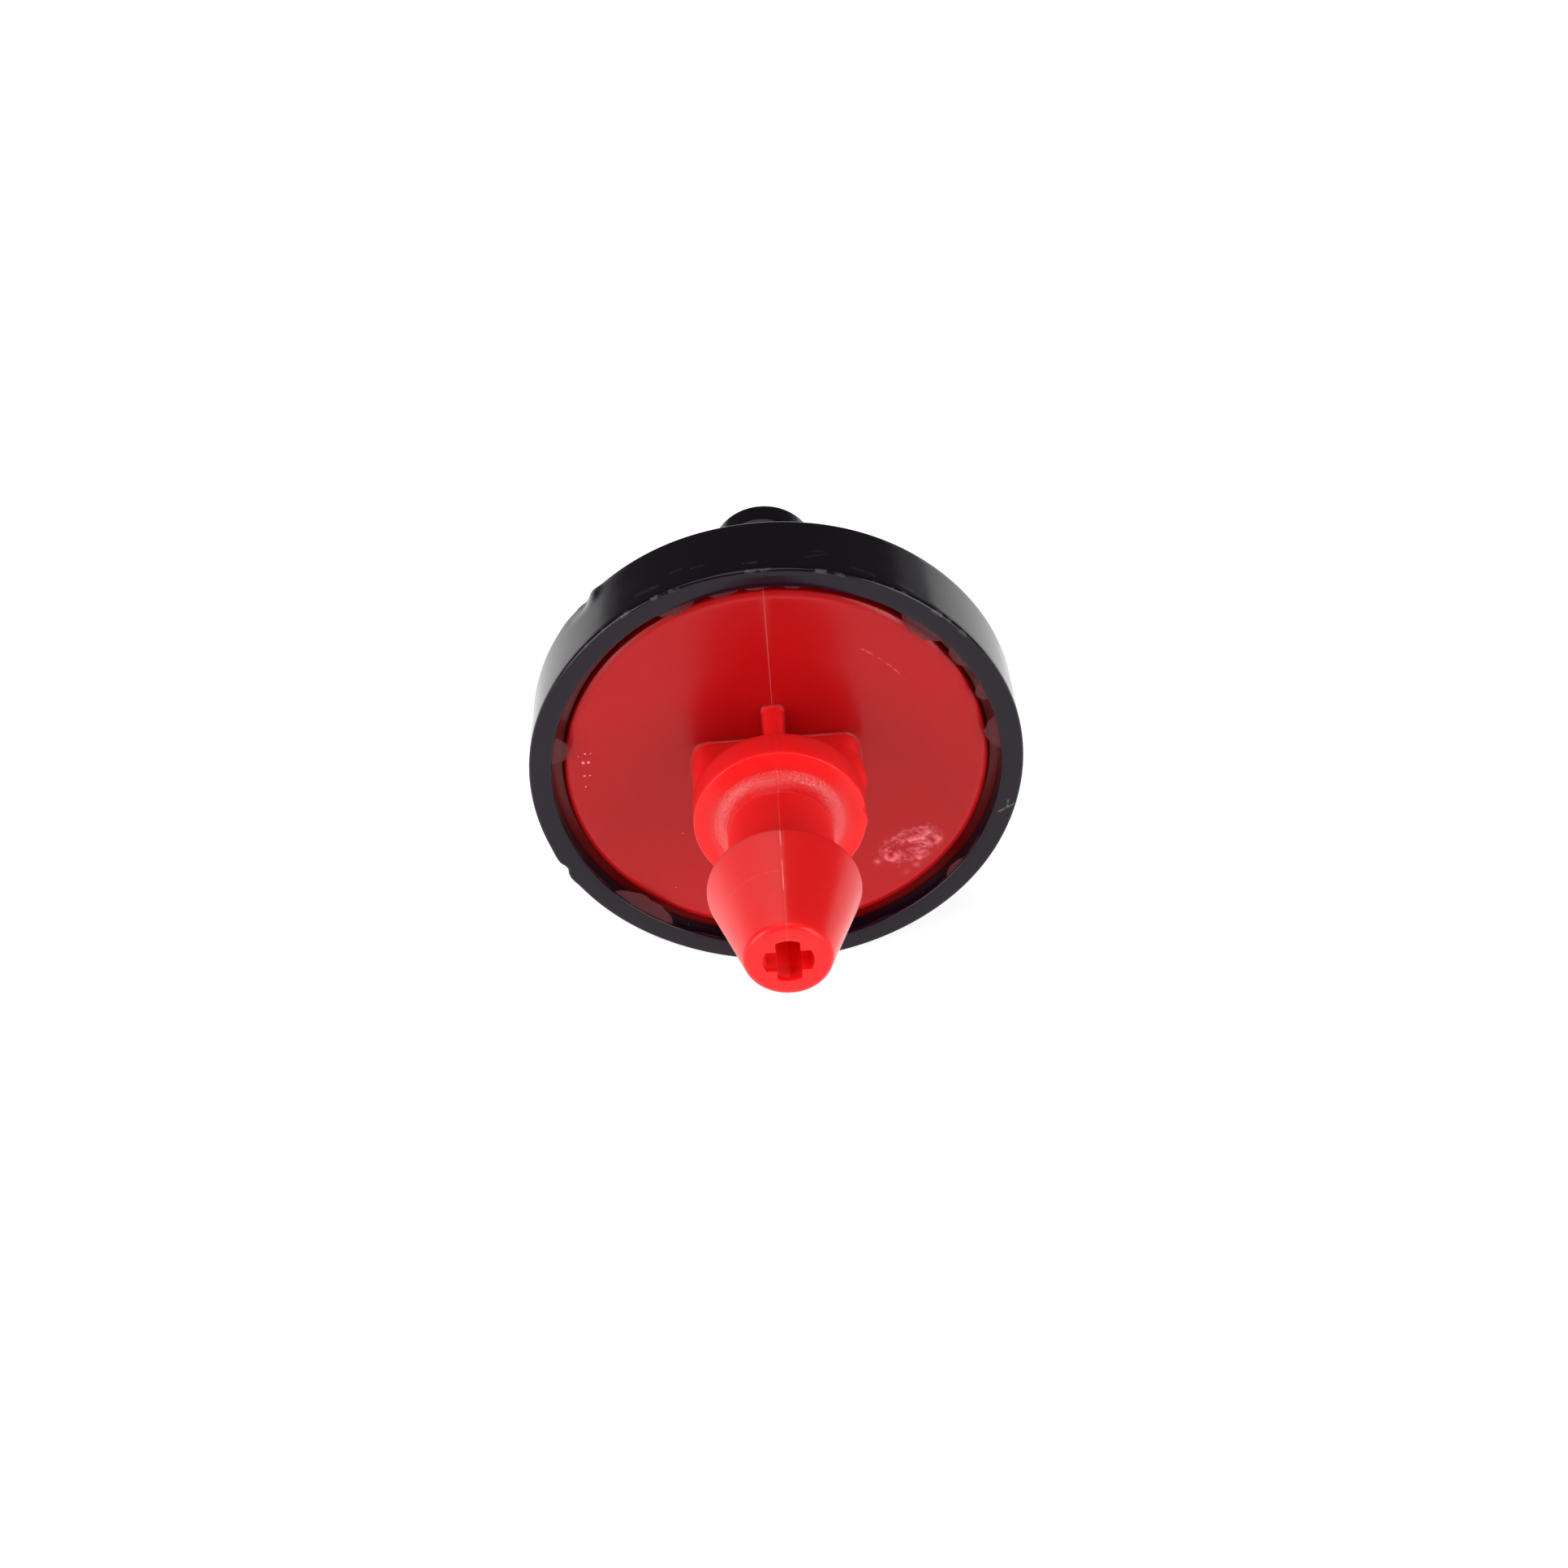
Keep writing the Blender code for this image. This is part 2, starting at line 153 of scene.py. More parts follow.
# Faults of the edges, as (degrees, width in degrees, height in mm). A height below 0 is a nick.
COLLAR_FAULTS = ((22, 3.0, 0.05), (4.5, 3.2, -0.13), (-5, 4.0, 0.05), (74, 2.2, 0.03))
RING_FRONT_FAULTS = ((205.8, 1.3, -0.13), (209.2, 2.0, 0.05), (202.5, 2.0, 0.03))
RING_BACK_FAULTS = ((137.4, 1.6, -0.13), (133.8, 1.5, 0.07), (141, 2.5, -0.05))
# How far the ring is out of round, as (waves in a turn, phase, height in mm)
RING_WAVES = ((2, 1.0, 0.020), (3, -0.6, 0.012), (7, 0.0, 0.010))
RING_SHRINK = 0.024
BARB_WAVE = 0.006

# The parting line, a thin raised witness of the mould's split
SEAM_HALF_WIDTH = 0.035 * MM
SEAM_HEIGHT = 0.008 * MM

# The torn scar of the moulding's gate on the disc's front, in mm. It is an oval about its centre at
# (x, z), and its parts are placed by (along, across) from that centre, along the oval's long axis.
SCAR_CENTRE = (4.74, -4.20)
SCAR_HALF = (1.02, 0.66)
SCAR_TILT = math.radians(25)
SCAR_LIPS = ((-0.85, 0.0, 0.24), (0.8, -0.05, 0.30))
SCAR_GASH = ((-0.2, 0.3), (0.5, 0.15))
SCAR_CRUMBS = ((0.7, -0.4), (0.0, -0.65), (-0.25, -0.9), (-0.75, -1.0), (-1.45, -0.05))
SCAR_LINE = 0.11
SCAR_RIM_HEIGHT = 0.022
SCAR_LIP_HEIGHT = 0.030
SCAR_GASH_HEIGHT = 0.070
SCAR_CRUMB_HEIGHT = 0.028
SCAR_FULL_HEIGHT = 0.08
SCAR_REACH = 1.9
SCAR_FADE = 0.25
SCAR_CUTS = 4

# How finely the meshes are made
COLUMNS = 288
SPACING = 0.22 * MM
ARC_SPACING = 0.035 * MM
SEAM_CLEAR = math.radians(3.6)
SEAM_MOST_TURN = 0.055

# The camera, about the centre of the ring's front
CAMERA_DISTANCE = 157.7 * MM
CAMERA_AZIMUTH = 0.55
CAMERA_ELEVATION = 37.66
CAMERA_ROLL = -4.46
LENS = 99.72
SENSOR = 36.0
SHIFT_RIGHT = 0.00445
SHIFT_DOWN = 0.0083

# The area lights, as (name, place, size, power). They face the centre of the ring's front.
LIGHTS = (
    ("key_overhead", (-0.05, -0.05, 0.32), (0.34, 0.26), 0.54),
    ("side_left", (-0.284, -0.222, 0.083), (0.20, 0.26), 0.95),
    ("side_right", (0.231, -0.276, 0.083), (0.15, 0.26), 0.85),
)
FLOOR_SIZE = 900 * MM
FLOOR_DROP = 0.02 * MM


# ---------------------------------------------------------------- outlines and meshes


def rounded(corners, spacing=SPACING):
    """An outline through (radius, station, round) corners, with arcs at the rounds and close points."""
    points = []
    last = len(corners) - 1
    for index, (x, y, size) in enumerate(corners):
        here = np.array((x, y))
        if index in (0, last) or size == 0:
            points.append(here)
            continue
        before = np.array(corners[index - 1][:2]) - here
        after = np.array(corners[index + 1][:2]) - here
        before /= np.linalg.norm(before)
        after /= np.linalg.norm(after)
        angle = math.acos(np.clip(before @ after, -1, 1))
        reach = size / math.tan(angle / 2)
        middle = before + after
        centre = here + middle / np.linalg.norm(middle) * size / math.sin(angle / 2)
        start = here + before * reach - centre
        turn = math.pi - angle
        steps = max(3, math.ceil(turn * size / ARC_SPACING))
        side = math.copysign(1.0, start[0] * before[1] - start[1] * before[0])
        for step in range(steps + 1):
            swing = -side * turn * step / steps
            cos, sin = math.cos(swing), math.sin(swing)
            points.append(centre + (start[0] * cos - start[1] * sin, start[0] * sin + start[1] * cos))
    dense = [points[0]]
    for point in points[1:]:
        gap = np.linalg.norm(point - dense[-1])
        first, steps = dense[-1], max(1, math.ceil(gap / spacing))
        dense += [first + (point - first) * step / steps for step in range(1, steps + 1)]
    return np.array(dense)


def columns(seam):
    """(angle, offset, height) of each column of a turned mesh. An offset is a fixed distance beside the
    seam, where a column is raised by its height, and None elsewhere."""
    found = []
    for index in range(COLUMNS):
        angle = math.tau * index / COLUMNS
        from_seam = min(abs(angle - math.pi / 2), abs(angle - 3 * math.pi / 2))
        if not seam or from_seam > SEAM_CLEAR:
            found.append((angle, None, 0.0))
    if seam:
        for middle in (math.pi / 2, 3 * math.pi / 2):
            for share, height in ((-1, 0), (-0.5, 0.75), (0, 1), (0.5, 0.75), (1, 0)):
                found.append((middle + share * 1e-4, share * SEAM_HALF_WIDTH, height))
    return sorted(found, key=lambda column: column[0])


def profile_normals(profile):
    along = np.gradient(profile, axis=0)
    along /= np.maximum(np.linalg.norm(along, axis=1, keepdims=True), 1e-12)
    return np.stack([-along[:, 1], along[:, 0]], 1)


def turned_mesh(name, profile, seam_stations=None, closed=False, shape=None):
    """Turns an outline about the flow axis. shape moves its points: shape(radius, angle, station)."""
    cols = columns(seam_stations is not None)
    normals = profile_normals(profile)
    angles = np.zeros((len(profile), len(cols)))
    raised = np.zeros((len(profile), len(cols)))
    for j, (angle, offset, height) in enumerate(cols):
        if offset is None:
            angles[:, j] = angle
            continue
        middle = math.pi / 2 if angle < math.pi else 3 * math.pi / 2
        share = np.clip(offset / np.maximum(profile[:, 0], 1e-6), -SEAM_MOST_TURN, SEAM_MOST_TURN)
        angles[:, j] = middle + np.arcsin(share)
        low, high = seam_stations
        inside = (profile[:, 1] > low) & (profile[:, 1] < high) & (profile[:, 0] > CROSS_REACH * 0.9)
        raised[:, j] = np.where(inside, height * SEAM_HEIGHT, 0.0)
    radius = profile[:, :1] - normals[:, :1] * raised
    station = profile[:, 1:] - normals[:, 1:] * raised
    radius = np.broadcast_to(radius, angles.shape).copy()
    station = np.broadcast_to(station, angles.shape).copy()
    if shape is not None:
        radius, station = shape(radius, angles, station)
    grid = np.stack([radius * np.cos(angles), station, radius * np.sin(angles)], -1)
    bm = bmesh.new()
    rows = []
    for i in range(len(profile)):
        if profile[i, 0] < 1e-9:
            rows.append([bm.verts.new((0.0, station[i].mean(), 0.0))])
        else:
            rows.append([bm.verts.new(point) for point in grid[i]])
    pairs = list(zip(rows, rows[1:]))
    if closed:
        pairs.append((rows[-1], rows[0]))
    count = len(cols)
    for upper, lower in pairs:
        for j in range(count):
            k = (j + 1) % count
            corners = [upper[j % len(upper)], upper[k % len(upper)]]
            corners += [lower[k % len(lower)], lower[j % len(lower)]]
            bm.faces.new(list(dict.fromkeys(corners)))
    return finish_mesh(bm, name)


def finish_mesh(bm, name):
    bmesh.ops.recalc_face_normals(bm, faces=bm.faces)
    mesh = bpy.data.meshes.new(name)
    bm.to_mesh(mesh)
    bm.free()
    return mesh


def new_object(name, mesh):
    obj = bpy.data.objects.new(name, mesh)
    bpy.context.scene.collection.objects.link(obj)
    return obj


def lofted_mesh(name, outlines, stations):
    """A closed solid through outlines of (x, z) points, one at each station."""
    bm = bmesh.new()
    rings = []
    for outline, station in zip(outlines, stations):
        rings.append([bm.verts.new((x, station, z)) for x, z in outline])
    for first, second in zip(rings, rings[1:]):
        for j in range(len(first)):
            k = (j + 1) % len(first)
            bm.faces.new((first[j], first[k], second[k], second[j]))
    bm.faces.new(rings[0])
    bm.faces.new(rings[-1][::-1])
    return finish_mesh(bm, name)


def box_mesh(name, size, centre, angle=0.0):
    """A box of size (radial, across, along the flow), turned about the flow axis."""
    bm = bmesh.new()
    bmesh.ops.create_cube(bm, size=1.0)
    bmesh.ops.scale(bm, vec=(size[0], size[2], size[1]), verts=bm.verts)
    bmesh.ops.translate(bm, vec=centre, verts=bm.verts)
    bmesh.ops.rotate(bm, matrix=Matrix.Rotation(-angle, 3, "Y"), verts=bm.verts)
    return finish_mesh(bm, name)


def rod_mesh(name, radius, start, end, segments=COLUMNS):
    bm = bmesh.new()
    bmesh.ops.create_cone(
        bm, cap_ends=True, segments=segments, radius1=radius, radius2=radius, depth=end - start
    )
    bmesh.ops.rotate(bm, matrix=Matrix.Rotation(-math.pi / 2, 3, "X"), verts=bm.verts)
    bmesh.ops.translate(bm, vec=(0, (start + end) / 2, 0), verts=bm.verts)
    return finish_mesh(bm, name)


def combine(obj, operation, mesh):
    """Applies one exact Boolean with a mesh, and removes its object."""
    other = new_object(mesh.name, mesh)
    modifier = obj.modifiers.new(operation, "BOOLEAN")
    modifier.operation = operation
    modifier.solver = "EXACT"
    modifier.object = other
    bpy.context.view_layer.update()
    graph = bpy.context.evaluated_depsgraph_get()
    made = bpy.data.meshes.new_from_object(obj.evaluated_get(graph))
    obj.modifiers.clear()
    obj.data = made
    bpy.data.objects.remove(other, do_unlink=True)


def smooth(obj, angle=32):
    obj.data.shade_smooth()
    obj.data.set_sharp_from_angle(angle=math.radians(angle))


# ---------------------------------------------------------------- the red moulding


def base_profile():
    dish = DISC_BACK - DISH_DEPTH
    back = COLLAR_FRONT + COLLAR_THICKNESS
    return rounded(
        [
            (0.0, dish, 0),
            (DISH_RADIUS - DISH_DEPTH, dish, 0.1 * MM),
            (DISH_RADIUS, DISC_BACK, 0.1 * MM),
            (FLANGE_RADIUS, DISC_BACK, 0.08 * MM),
            (FLANGE_RADIUS, FLANGE_FRONT, 0.06 * MM),
            (DISC_RADIUS + 0.02 * MM, FLANGE_FRONT, 0.08 * MM),
            (DISC_RADIUS, DISC_EDGE, DISC_ROUND),
            (DISC_SLOPE_START, DISC_FRONT, DISC_SLOPE_ROUND),
            (CORE_RADIUS, DISC_FRONT, ROOT_FILLET),
            (CORE_RADIUS, back, ROOT_FILLET),
            (COLLAR_RADIUS, back, 0.05 * MM),
            (COLLAR_RADIUS, COLLAR_FRONT, 0.06 * MM),
            (NECK_RADIUS, COLLAR_FRONT, NECK_FILLET),
            (NECK_RADIUS, SHOULDER_STATION + SHOULDER_RAKE, 0.06 * MM),
            (BARB_RADIUS, SHOULDER_STATION, 0.05 * MM),
            (BARB_RADIUS, SHOULDER_STATION - BARB_LAND, 0.10 * MM),
            (TIP_RADIUS + 0.02 * MM, TIP_STATION, TIP_ROUND),
            (0.0, TIP_STATION, 0),
        ]
    )


def bump_at(angles, degrees, width):
    """A smooth bump of height 1 at an angle, with its width in degrees."""
    away = (angles - math.radians(degrees) + math.pi) % math.tau - math.pi
    return np.exp(-((away / math.radians(width)) ** 2))


def faults(angles, rows):
    return sum(height * bump_at(angles, degrees, width) for degrees, width, height in rows)


def base_shape(radius, angles, station):
    """Small moulding faults: nicks of flash on the collar's edge and a slightly wavy barb."""
    edge = np.clip((radius - COLLAR_RADIUS + 0.2 * MM) / (0.2 * MM), 0, 1)
    edge = edge * (station > COLLAR_FRONT - 0.1 * MM) * (station < COLLAR_FRONT + COLLAR_THICKNESS)
    near_front = np.clip(1 - np.abs(station - COLLAR_FRONT) / (0.35 * MM), 0, 1)
    radius = radius + faults(angles, COLLAR_FAULTS) * MM * edge * near_front
    barb = (station < COLLAR_FRONT - 0.5 * MM) * (radius > CROSS_REACH)
    radius = radius + barb * BARB_WAVE * MM * np.sin(3 * angles + station / MM)
    return radius, station


def bar_outline(half, reach, corner, grow):
    """A level bar seen along the flow axis. Its ends lie on a circle, and its corners are rounded."""
    half, reach, corner = half + grow, reach + grow, corner + grow
    rise = math.asin((half - corner) / (reach - corner))
    side, height = (reach - corner) * math.cos(rise), half - corner
    quarter = [polar(reach, rise * step / 8) for step in range(8)]
    for step in range(13):
        x, z = polar(corner, rise + (math.pi / 2 - rise) * step / 12)
        quarter.append((side + x, height + z))
    quarter += [(side * (1 - step / 12), half) for step in range(1, 12)]
    quarter.append((0.0, half))
    top = quarter + [(-x, z) for x, z in quarter[-2:0:-1]]
    return top + [(-x, -z) for x, z in top]


def wing_outline(grow):
    return bar_outline(WING_HEIGHT / 2, WING_REACH, WING_CORNER, grow)


def rib_outline(grow):
    """The upright rib seen along the flow axis, with crowned ends."""
    return [(-z, x) for x, z in bar_outline(RIB_WIDTH / 2, RIB_REACH, RIB_CORNER, grow)]


def stem_mesh(name, outline, root):
    """A stem from inside the collar into the disc, flared by a fillet where it meets the disc."""
    start = COLLAR_FRONT + COLLAR_THICKNESS - 0.35 * MM
    first, last = start + 0.36 * MM, DISC_FRONT - root
    stations = [start] + [first + (last - first) * step / 16 for step in range(16)]
    grows = [0.0] * len(stations)
    for step in range(11):
        angle = math.pi / 2 * step / 10
        stations.append(last + root * math.sin(angle))
        grows.append(root - root * math.cos(angle))
    stations.append(DISC_FRONT + 0.3 * MM)
    grows.append(root)
    outlines = [flashed(outline(grow), station) for grow, station in zip(grows, stations)]
    return lofted_mesh(name, outlines, stations)


def flashed(outline, station):
    """Pushes out the tag of flash on the right wing's side, just behind the collar."""
    along = math.exp(-(((station - FLASH_STATION) / FLASH_LENGTH) ** 4))
    moved = []
    for x, z in outline:
        away = (math.atan2(z, x) - FLASH_ANGLE) / FLASH_SWING
        push = FLASH_HEIGHT * along * math.exp(-(away**4)) * (math.hypot(x, z) > CORE_RADIUS * 2)
        moved.append((x + push, z))
    return moved


def cross_outline():
    """The inlet's cross, whose arms end on a circle."""
    half = CROSS_SLOT / 2
    end = math.asin(half / CROSS_REACH)
    points = []
    for arm in range(4):
        turn = arm * math.pi / 2
        points += [polar(CROSS_REACH, turn - end + 2 * end * step / 8) for step in range(9)]
        points.append(polar(half * math.sqrt(2), turn + math.pi / 4))
    return points


def make_base():
    seam = (TIP_STATION - MM, DISC_FRONT + 0.05 * MM)
    base = new_object("red_base", turned_mesh("red_base", base_profile(), seam, shape=base_shape))
    combine(base, "UNION", stem_mesh("wings", wing_outline, ROOT_FILLET))
    combine(base, "UNION", stem_mesh("rib", rib_outline, ROOT_FILLET))
    for index in range(PAD_COUNT):
        size = (*PAD_SIZE, 2 * PAD_HEIGHT)
        angle = math.tau * (index + 0.5) / PAD_COUNT
        combine(base, "UNION", box_mesh("pad", size, (PAD_ORBIT, DISC_BACK, 0), angle))
    outline = cross_outline()
    ends = [TIP_STATION - MM, TIP_STATION + CROSS_DEPTH]
    combine(base, "DIFFERENCE", lofted_mesh("inlet_cross", [outline, outline], ends))
    bore_start = TIP_STATION + CROSS_DEPTH - MM / 2
    bore = rod_mesh("inlet_bore", INLET_BORE, bore_start, DISC_BACK + MM, segments=64)
    combine(base, "DIFFERENCE", bore)
    add_gate_scar(base)
    smooth(base)
    return base


def in_scar(x, z):
    """A point of the disc's front, as (along, across) from the scar's centre."""
    u, v = x - SCAR_CENTRE[0], z - SCAR_CENTRE[1]
    cos, sin = math.cos(SCAR_TILT), math.sin(SCAR_TILT)
    return Vector((u * cos + v * sin, v * cos - u * sin))


def oval_share(point):
    """The distance from the scar's centre, with 1 at its edge."""
    return math.hypot(point.x / SCAR_HALF[0], point.y / SCAR_HALF[1])


def from_gash(point):
    start, along = Vector(SCAR_GASH[0]), Vector(SCAR_GASH[1]) - Vector(SCAR_GASH[0])
    share = min(max((point - start).dot(along) / along.length_squared, 0.0), 1.0)
    return (point - start - along * share).length


def ridge(away, width):
    """The height of a rounded ridge of height 1, at a distance from its line."""
    return math.exp(-((away / width) ** 2))


def scar_tear(x, z):
    """How much the plastic is torn at a point, from its fine streaks: 0 is whole."""
    streaks = noise.fractal(Vector((x * 5.0 + z * 2.0, z * 9.0, 2.7)), 0.9, 2.0, 5)
    inside = 1 / (1 + math.exp((oval_share(in_scar(x, z)) - 0.95 - 0.3 * streaks) / 0.07))
    return inside * (0.34 + 0.55 * streaks)


def scar_height(x, z):
    """How far the torn plastic of the gate stands off the disc at a point, in millimetres."""
    point = in_scar(x, z)
    oval = oval_share(point)
    rough = noise.fractal(Vector((x * 3.1, z * 3.1, 0.4)), 1.0, 2.0, 4)
    height = SCAR_RIM_HEIGHT * ridge(oval - 1 - 0.3 * rough, SCAR_LINE)
    for along, across, size in SCAR_LIPS:
        away = (point - Vector((along, across))).length * (1 + 0.3 * rough)
        height += SCAR_LIP_HEIGHT * ridge(away - size, SCAR_LINE)
    height += SCAR_GASH_HEIGHT * ridge(from_gash(point), 0.07)
    for crumb in SCAR_CRUMBS:
        height += SCAR_CRUMB_HEIGHT * ridge((point - Vector(crumb)).length, SCAR_LINE)
    inside = 1 / (1 + math.exp((oval - 1) / 0.08))
    return 1.25 * height * (0.75 + 0.8 * rough) + inside * (0.03 * rough - 0.012)


def add_gate_scar(base):
    """Splits the disc's faces about the gate finely, and raises the scar there."""
    bm = bmesh.new()
    bm.from_mesh(base.data)

    def room(point):
        """How far inside the scar's patch of the disc's front a point lies, or 0 outside it."""
        if abs(point.y - DISC_FRONT) > 0.002 * MM:
            return 0.0
        away = math.hypot(point.x / MM - SCAR_CENTRE[0], point.z / MM - SCAR_CENTRE[1])
        return max(SCAR_REACH - away, 0.0)

    faces = [face for face in bm.faces if room(face.calc_center_median()) > 0]
    edges = {edge for face in faces for edge in face.edges}
    bmesh.ops.subdivide_edges(bm, edges=list(edges), cuts=SCAR_CUTS, use_grid_fill=True)
    layer = bm.verts.layers.float.new("scar")
    for vert in bm.verts:
        fade = min(1.0, room(vert.co) / SCAR_FADE)
        if fade > 0:
            x, z = vert.co.x / MM, vert.co.z / MM
            height = scar_height(x, z) * fade
            vert.co.y -= height * MM
            torn = height / SCAR_FULL_HEIGHT + fade * scar_tear(x, z)
            vert[layer] = min(max(torn, 0.0), 1.0)
    bm.to_mesh(base.data)
    bm.free()


# ---------------------------------------------------------------- the black moulding


def cap_profile():
    floor = LABYRINTH_FACE + REGULATING_DEPTH
    orifice_end = floor + ORIFICE_LENGTH
    outline = [
        (OUTLET_MOUTH, NIPPLE_END, 0),
        (NIPPLE_END_RADIUS, NIPPLE_END, 0.10 * MM),
        (BEAD_RADIUS, BEAD_END, 0.20 * MM),
        (BEAD_RADIUS, BEAD_START + BEAD_RAMP, 0.12 * MM),
        (NIPPLE_RADIUS, BEAD_START, 0.12 * MM),
        (NIPPLE_RADIUS, BOSS_BACK, 0.25 * MM),
        (BOSS_RADIUS, BOSS_BACK, 0.08 * MM),
        (BOSS_RADIUS + 0.02 * MM, DRUM_BACK, 0.20 * MM),
        (DRUM_TOP_RADIUS, DRUM_BACK, 0.35 * MM),
        (DRUM_RADIUS, SHOULDER_BACK, 0.12 * MM),
        (RING_BACK_RADIUS - 0.02 * MM, SHOULDER_BACK, 0.17 * MM),
        (RING_RADIUS, RING_FRONT, 0.13 * MM),
        (LIP_RADIUS, RING_FRONT, 0.07 * MM),
        (LIP_RADIUS, FLANGE_FRONT - GAP, 0),
        (FLANGE_RADIUS + GAP, FLANGE_FRONT - GAP, 0),
        (FLANGE_RADIUS + GAP, DISC_BACK + GAP, 0),
        (CHAMBER_RADIUS, DISC_BACK + GAP, 0),
        (CHAMBER_RADIUS, LABYRINTH_FACE, 0),
        (REGULATING_RADIUS, LABYRINTH_FACE, 0),
        (REGULATING_RADIUS, floor, 0),
        (ORIFICE_RADIUS, floor, 0),
        (ORIFICE_RADIUS, orifice_end, 0),
        (OUTLET_BORE, orifice_end + OUTLET_BORE - ORIFICE_RADIUS, 0),
        (OUTLET_BORE, NIPPLE_END - OUTLET_BORE, 0),
        (OUTLET_MOUTH, NIPPLE_END, 0),
    ]
    return rounded(outline)[:-1]


def cap_shape(radius, angles, station):
    """The ring is a little out of round, with a chipped front edge and a dented back edge."""
    ring = np.clip((radius - LIP_RADIUS + 0.1 * MM) / (0.3 * MM), 0, 1)
    ring = ring * (station < SHOULDER_BACK + 0.05 * MM)
    wave = sum(height * np.sin(count * angles + phase) for count, phase, height in RING_WAVES)
    radius = radius + ring * (wave - RING_SHRINK) * MM
    outside = np.clip((radius - 8.6 * MM) / (0.25 * MM), 0, 1)
    front = np.clip(1 - (station - RING_FRONT) / (0.8 * MM), 0, 1)
    radius = radius + outside * front * faults(angles, RING_FRONT_FAULTS) * MM
    back = np.clip((station - SHOULDER_BACK + 0.9 * MM) / (0.6 * MM), 0, 1)
    radius = radius + outside * back * faults(angles, RING_BACK_FAULTS) * MM
    return radius, station


def polar(radius, angle):
    return (radius * math.cos(angle), radius * math.sin(angle))


def labyrinth_outline():
    """The channel seen along the flow axis: a ring sector with teeth from its two walls in turn."""
    pitch = CHANNEL_SWEEP / TOOTH_COUNT
    width = CHANNEL_OUTER - CHANNEL_INNER
    sides = []
    for wall, direction, offset in ((CHANNEL_OUTER, -1, 0.25), (CHANNEL_INNER, 1, 0.75)):
        side = [polar(wall, CHANNEL_START)]
        for index in range(TOOTH_COUNT):
            middle = CHANNEL_START + (index + offset) * pitch
            half = TOOTH_SHARE * pitch / 2
            tip = wall + direction * TOOTH_REACH * width
            side += [polar(wall, middle - half), polar(tip, middle - half / 2)]
            side += [polar(tip, middle + half / 2), polar(wall, middle + half)]
        side.append(polar(wall, CHANNEL_START + CHANNEL_SWEEP))
        sides.append(side)
    return [(x, -z) for x, z in sides[0] + sides[1][::-1]]


def gusset_mesh(name, angle):
    """A pair of gussets on opposite sides of the nipple's root, as one crossing plate."""
    half = GUSSET_WIDTH / 2
    low, high = DRUM_BACK - 0.3 * MM, GUSSET_TOP
    outline = rounded(
        [
            (0, low, 0),
            (GUSSET_ROOT, low, 0),
            (GUSSET_ROOT, DRUM_BACK, 0),
            (NIPPLE_RADIUS - 0.1 * MM, high, 0),
            (0, high, 0),
        ],
        spacing=MM,
    )
    full = [(x, y) for x, y in outline] + [(-x, y) for x, y in outline[-2:0:-1]]
    bm = bmesh.new()
    front = [bm.verts.new((x, y, -half)) for x, y in full]
    back = [bm.verts.new((x, y, half)) for x, y in full]
    bm.faces.new(front)
    bm.faces.new(back[::-1])
    for j in range(len(full)):
        k = (j + 1) % len(full)
        bm.faces.new((front[j], front[k], back[k], back[j]))
    bmesh.ops.recalc_face_normals(bm, faces=bm.faces)
    edges = [edge for edge in bm.edges if edge.calc_face_angle(0.0) > 0.3]
    bmesh.ops.bevel(bm, geom=edges, offset=GUSSET_EDGE, segments=2, affect="EDGES", profile=0.5)
    bmesh.ops.rotate(bm, matrix=Matrix.Rotation(-angle, 3, "Y"), verts=bm.verts)
    return finish_mesh(bm, name)


def make_cap():
    body = turned_mesh("black_cap", cap_profile(), closed=True, shape=cap_shape)
    cap = new_object("black_cap", body)
    for index in range(GUSSET_COUNT // 2):
        combine(cap, "UNION", gusset_mesh("gussets", math.pi / 4 + index * math.pi / 2))
    outline = labyrinth_outline()
    ends = [LABYRINTH_FACE - 0.3 * MM, LABYRINTH_FACE + CHANNEL_DEPTH]
    combine(cap, "DIFFERENCE", lofted_mesh("labyrinth", [outline, outline], ends))
    middle = (CHANNEL_INNER + CHANNEL_OUTER) / 2
    port_angle = math.atan2(PORT_WIDTH / 2, CHANNEL_OUTER)
    exit_angle = CHANNEL_START + CHANNEL_SWEEP - 1.5 * port_angle
    exit_start = REGULATING_RADIUS - GUSSET_WIDTH
    for name, inner, outer, angle in (
        ("entry_port", middle, PORT_OUTER_END, CHANNEL_START + port_angle),
        ("exit_port", exit_start, middle, exit_angle),
    ):
        size = (outer - inner, PORT_WIDTH, 2 * CHANNEL_DEPTH)
        centre = ((inner + outer) / 2, LABYRINTH_FACE, 0)
        combine(cap, "DIFFERENCE", box_mesh(name, size, centre, -angle))
    clear_bore(cap)
    smooth(cap)
    return cap


def clear_bore(cap):
    """Opens the outlet again where the crossing gussets closed it."""
    floor = LABYRINTH_FACE + REGULATING_DEPTH + ORIFICE_LENGTH
    start, end = floor + OUTLET_BORE - ORIFICE_RADIUS, NIPPLE_END - OUTLET_BORE - MM
    combine(cap, "DIFFERENCE", rod_mesh("outlet_bore", OUTLET_BORE, start, end))


# ---------------------------------------------------------------- film of melted plastic on the lip

# (angle, half width, reach in from the lip) of each tongue of film: two in degrees, one in mm
TONGUES = [
    (7, 5.2, 0.50), (20.5, 2.8, 0.36), (33.5, 3.8, 0.32), (46.8, 6.8, 0.50), (82.8, 2.6, 0.14),
    (89, 1.2, 0.08), (92, 3.0, 0.16), (99.8, 4.0, 0.24), (112.5, 5.2, 0.34), (169, 4.2, 0.60),
    (228.5, 9.5, 0.60), (321, 4.0, 0.20),
]
FILM_COLUMNS = 1080
FILM_STEPS = 10
FILM_THICKNESS = 0.03 * MM
FILM_ROOT = 0.06 * MM
FILM_DROP = (0.03 * MM, 0.07 * MM)
FILM_WAVE = 0.02 * MM


